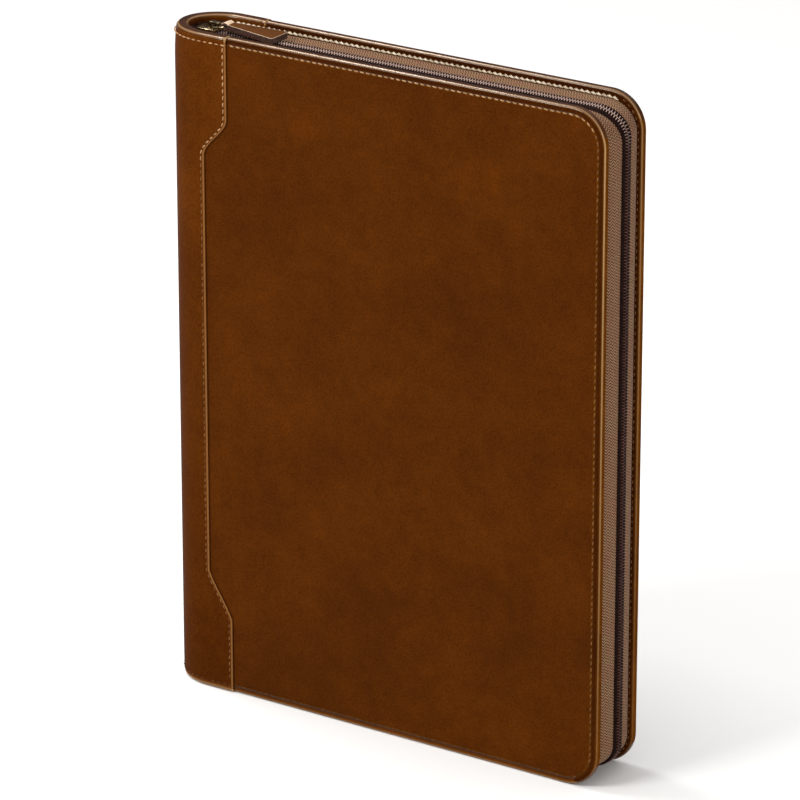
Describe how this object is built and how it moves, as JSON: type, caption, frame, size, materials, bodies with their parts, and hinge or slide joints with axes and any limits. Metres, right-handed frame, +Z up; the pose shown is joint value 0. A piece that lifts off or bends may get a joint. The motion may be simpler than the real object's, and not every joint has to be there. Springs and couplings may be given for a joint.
{
  "type": "zip-around leather document case",
  "caption": "Flat zip-around leather document case standing on its bottom edge, with a rounded spine under a stepped leather wrap and a swinging leather zip pull.",
  "frame": {"origin": "middle of the bottom edge that the case stands on, on the floor", "axes": "+Z up, +X from the spine to the long side of the zip, +Y from the front cover to the back cover"},
  "size_m": [0.2536, 0.0398, 0.3414],
  "materials": {
    "cover_leather": "waxed brown cowhide with a soft gloss",
    "wrap_leather": "waxed brown cowhide, darker toward the foot",
    "lining_cloth": "dark brown woven lining over padding",
    "tape_cloth": "tan herringbone zip tape",
    "coil_nylon": "dark brown nylon coil",
    "brass": "antiqued brass, worn bright on its edges",
    "tab_leather": "tan leather with dark painted edges"
  },
  "bodies": {
    "case": {"front_cover": "cover_leather", "back_cover": "cover_leather", "spine_wrap": "wrap_leather", "spine_lining": "lining_cloth", "front_tape": "tape_cloth", "back_tape": "tape_cloth", "front_coil": "coil_nylon", "back_coil": "coil_nylon", "zip_end_stop": "brass", "slider": "brass"},
    "pull": {"pull_link": "brass", "pull_tab": "tab_leather"}
  },
  "joints": [
    {"name": "pull_swing", "type": "hinge", "parent": "case", "child": "pull", "pos_m": [-0.10615, 0, 0.338], "axis": [0, -1, 0], "range_deg": [0, 150]}
  ]
}
